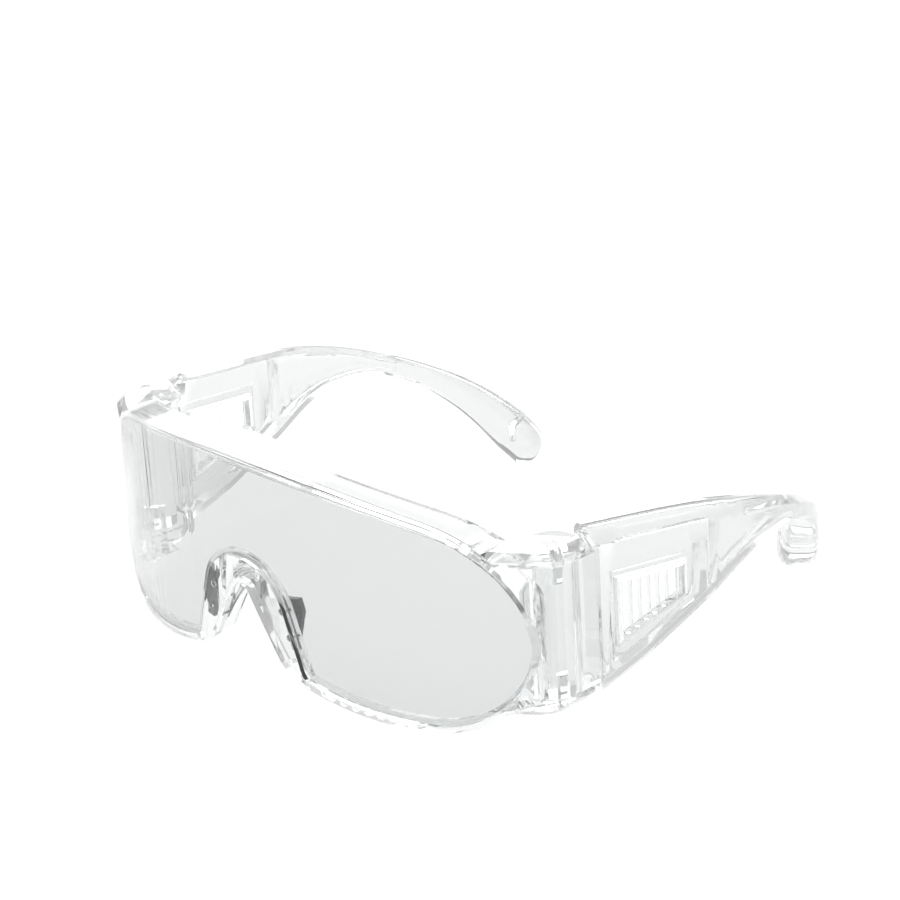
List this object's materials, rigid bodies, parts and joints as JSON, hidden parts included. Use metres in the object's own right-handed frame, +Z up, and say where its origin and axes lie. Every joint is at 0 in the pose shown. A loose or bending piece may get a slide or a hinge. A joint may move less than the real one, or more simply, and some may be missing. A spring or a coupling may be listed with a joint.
{
  "type": "safety glasses",
  "caption": "Clear wrap-round over-spectacles with a brow guard, a nose arch, louvred side shields and temples that fold inwards.",
  "frame": {"origin": "centre of the bounding box, at the surface that the open spectacles stand on", "axes": "+Z up, -Y out through the lens, +Y towards the ears, +X to the wearer's left"},
  "size_m": [0.1638, 0.1578, 0.0627],
  "materials": {
    "frame_clear": "polished clear plastic",
    "lens_clear": "polished clear plastic with a faint grey tint",
    "pad_smoke": "soft smoke-grey plastic, satin",
    "temple_clear": "polished clear plastic",
    "vent_clear": "clear plastic, lightly frosted on the slats",
    "pin_clear": "clear plastic"
  },
  "bodies": {
    "front": {"front_frame": "frame_clear", "lens": "lens_clear", "nose_pad_left": "pad_smoke", "nose_pad_right": "pad_smoke", "hinge_pin_upper_left": "pin_clear", "hinge_pin_lower_left": "pin_clear", "hinge_pin_upper_right": "pin_clear", "hinge_pin_lower_right": "pin_clear"},
    "left_temple": {"temple_left": "temple_clear", "vent_louvre_left": "vent_clear"},
    "right_temple": {"temple_right": "temple_clear", "vent_louvre_right": "vent_clear"}
  },
  "joints": [
    {"name": "left_temple_fold", "type": "hinge", "parent": "front", "child": "left_temple", "pos_m": [0.0745, -0.04273, 0.02698], "axis": [0, -0.0473, 0.9989], "range_deg": [0, 85]},
    {"name": "right_temple_fold", "type": "hinge", "parent": "front", "child": "right_temple", "pos_m": [-0.0745, -0.04273, 0.02698], "axis": [0, 0.0473, -0.9989], "range_deg": [0, 65]}
  ]
}
